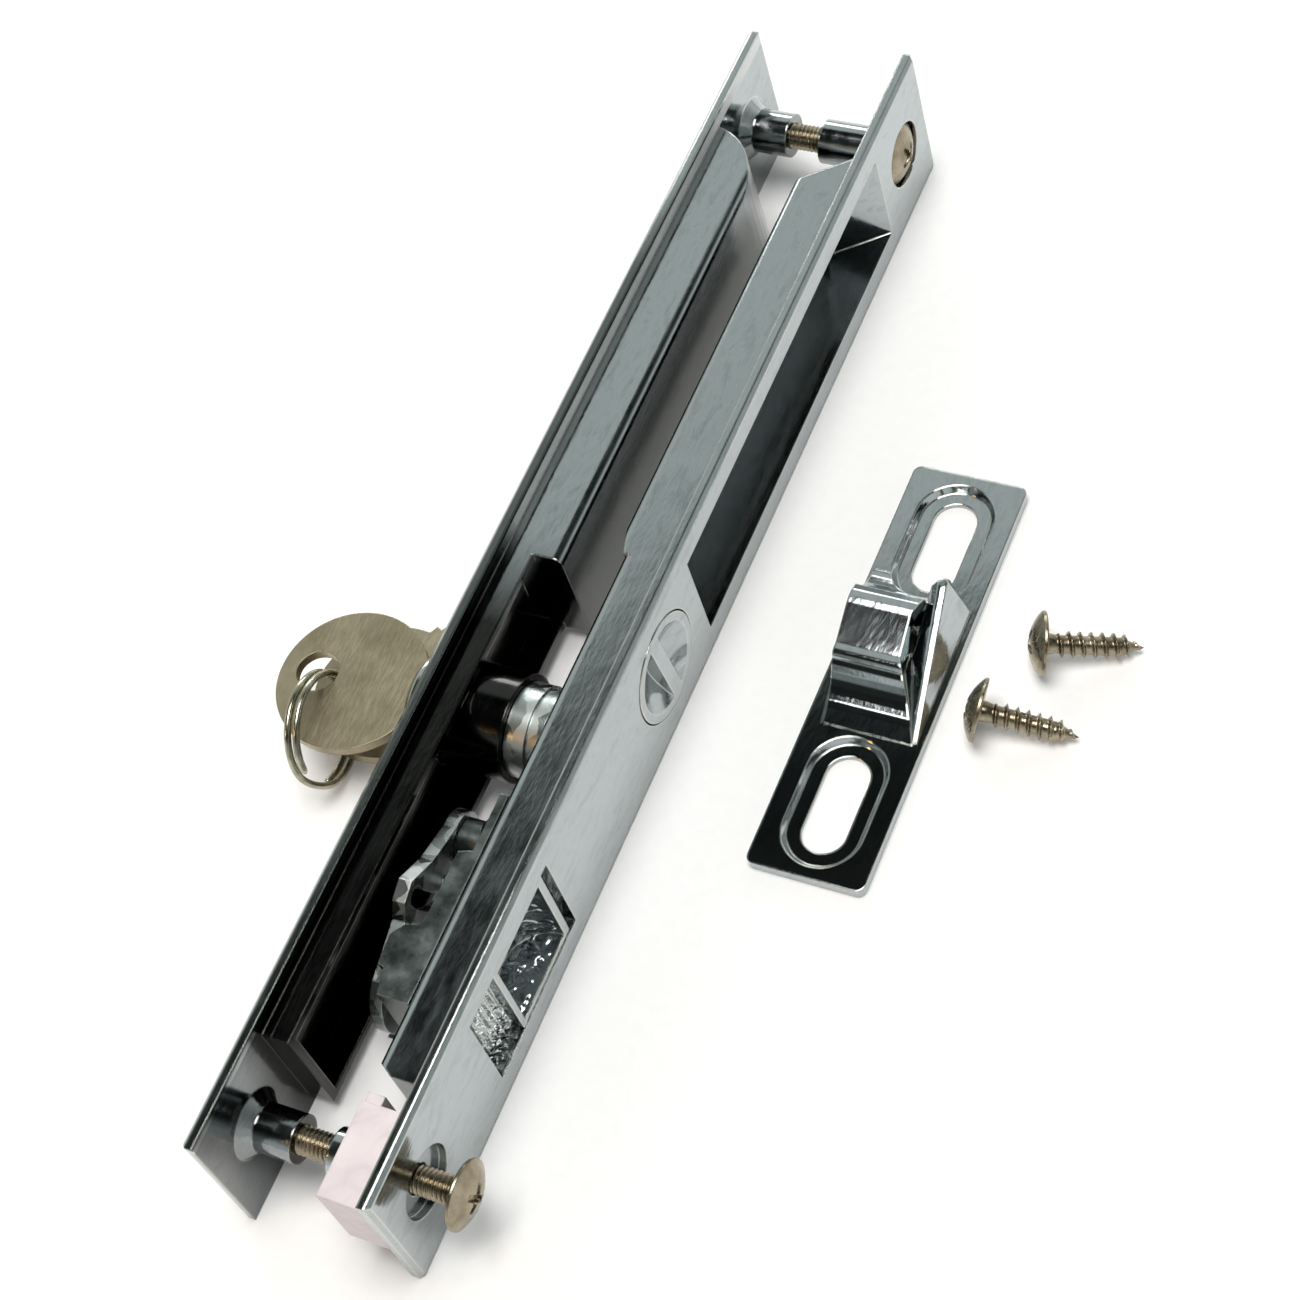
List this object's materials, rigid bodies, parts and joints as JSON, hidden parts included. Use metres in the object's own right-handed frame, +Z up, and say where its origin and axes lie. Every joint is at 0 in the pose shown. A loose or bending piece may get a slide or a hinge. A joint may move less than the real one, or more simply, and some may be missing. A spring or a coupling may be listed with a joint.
{
  "type": "patio door lock",
  "caption": "Flush two-plate lock for a sliding patio door, with finger recesses, thumb slide, thumb-turn, key cylinder, swinging hook latch, keeper and fixings.",
  "frame": {"origin": "centre of the whole set on the table it lies on, midway along the plates", "axes": "+X from the outside plate to the inside plate, +Y along the plates away from the thumb slide, +Z up from the table"},
  "size_m": [0.141, 0.238, 0.03],
  "materials": {
    "cast_chrome": "bright chrome plate on die-cast zinc",
    "warm_nickel": "bright nickel plate, slightly warm",
    "white_nylon": "satin moulded nylon",
    "dark_steel": "dark oiled steel",
    "galvanised_steel": "bright zinc plate",
    "key_metal": "satin nickel silver",
    "wafer_brass": "stamped brass",
    "ring_steel": "bright spring steel"
  },
  "bodies": {
    "lock_body": {"inside_plate": "cast_chrome", "outside_plate": "cast_chrome", "latch_case": "dark_steel", "case_screws": "galvanised_steel", "hook_pivot": "galvanised_steel", "cylinder_body": "cast_chrome", "spacer_block": "white_nylon"},
    "slide": {"thumb_slide": "cast_chrome", "slide_bar": "galvanised_steel", "drive_pin": "galvanised_steel"},
    "turn": {"thumb_turn": "cast_chrome", "thumb_turn_cam": "dark_steel", "thumb_turn_clip": "dark_steel"},
    "plug": {"cylinder_plug": "key_metal", "tumbler_wafers": "wafer_brass", "crank_drum": "cast_chrome", "drum_screw": "galvanised_steel"},
    "hook": {"latch_hook": "galvanised_steel"},
    "key_body": {"key": "key_metal"},
    "ring": {"key_ring": "ring_steel"},
    "spare": {"spare_key": "key_metal"},
    "top_screw": {"clamp_screw_top": "warm_nickel"},
    "bottom_screw": {"clamp_screw_bottom": "warm_nickel"},
    "keeper_body": {"keeper": "cast_chrome"},
    "keeper_fixings": {"keeper_screws": "warm_nickel"}
  },
  "joints": [
    {"name": "thumb_slide_travel", "type": "slide", "parent": "lock_body", "child": "slide", "axis": [0, -1, 0], "range_m": [0, 0.009]},
    {"name": "hook_swing", "type": "hinge", "parent": "lock_body", "child": "hook", "pos_m": [-0.0246, -0.0505, 0.0145], "axis": [1, 0, 0], "range_deg": [0, 40]},
    {"name": "plug_turn", "type": "hinge", "parent": "lock_body", "child": "plug", "pos_m": [-0.03, -0.028, 0.015], "axis": [-1, 0, 0], "range_deg": [0, 90]},
    {"name": "thumb_turn_lock", "type": "hinge", "parent": "lock_body", "child": "turn", "pos_m": [-0.005, -0.01, 0.015], "axis": [1, 0, 0], "range_deg": [0, 90]},
    {"name": "key_pull", "type": "slide", "parent": "plug", "child": "key_body", "axis": [-1, 0, 0], "range_m": [0, 0.02]},
    {"name": "ring_swing", "type": "hinge", "parent": "key_body", "child": "ring", "pos_m": [-0.062, -0.0272, 0.015], "axis": [0, 0, 1], "range_deg": [0, 6]},
    {"name": "spare_key_swing", "type": "hinge", "parent": "ring", "child": "spare", "pos_m": [-0.0601, -0.0363, 0.0109], "axis": [0.9806, 0.1378, 0.1392], "range_deg": [0, 6]},
    {"name": "top_screw_out", "type": "slide", "parent": "lock_body", "child": "top_screw", "axis": [1, 0, 0], "range_m": [0, 0.034]},
    {"name": "bottom_screw_out", "type": "slide", "parent": "lock_body", "child": "bottom_screw", "axis": [1, 0, 0], "range_m": [-0.008, 0.026]},
    {"name": "keeper_lift", "type": "slide", "parent": "lock_body", "child": "keeper_body", "axis": [0, 0, 1], "range_m": [0, 0.02]},
    {"name": "keeper_screws_lift", "type": "slide", "parent": "lock_body", "child": "keeper_fixings", "axis": [0, 0, 1], "range_m": [0, 0.02]}
  ],
  "couplings": [
    {"joint": "hook_swing", "follows": "thumb_slide_travel", "rad_per_m": 77.57},
    {"joint": "plug_turn", "follows": "thumb_slide_travel", "rad_per_m": 174.53}
  ]
}
